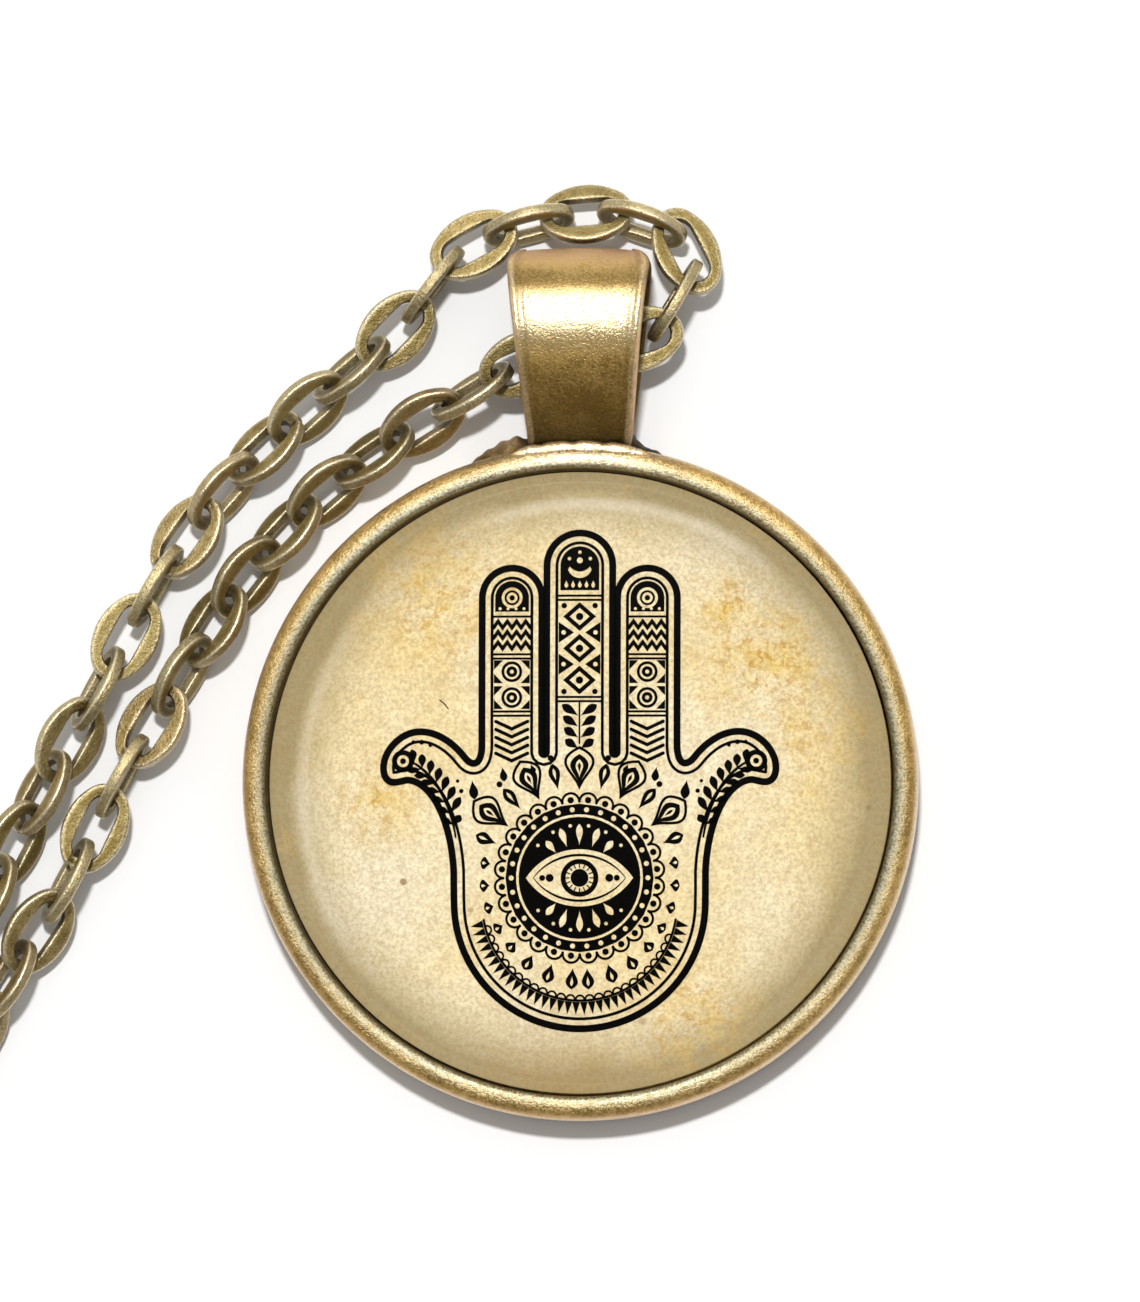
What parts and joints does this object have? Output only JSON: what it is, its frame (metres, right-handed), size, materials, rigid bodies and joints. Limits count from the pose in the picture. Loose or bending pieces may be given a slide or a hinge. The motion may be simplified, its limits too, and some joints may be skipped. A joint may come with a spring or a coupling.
{
  "type": "hamsa pendant necklace",
  "caption": "Round domed-glass pendant with a printed hamsa hand in an antique bronze tray with a folded bail, on an oval cable chain with a claw clasp.",
  "frame": {"origin": "centre of the round tray's flat back, on the surface it lies on", "axes": "+Z from the back towards the viewer through the glass, +Y from the tray's centre towards the bail, +X to the right as the pendant is looked at"},
  "size_m": [0.1251, 0.172, 0.0066],
  "materials": {
    "antique_bronze": "antique bronze plating, satin with dark recesses and worn bright edges",
    "printed_paper": "aged parchment colour with black ink",
    "clear_glass": "clear polished glass"
  },
  "bodies": {
    "root": {"tray": "antique_bronze", "print_disc": "printed_paper", "cabochon": "clear_glass", "chain": "antique_bronze", "clasp": "antique_bronze", "ring_clasp": "antique_bronze", "ring_catch": "antique_bronze"}
  },
  "joints": []
}
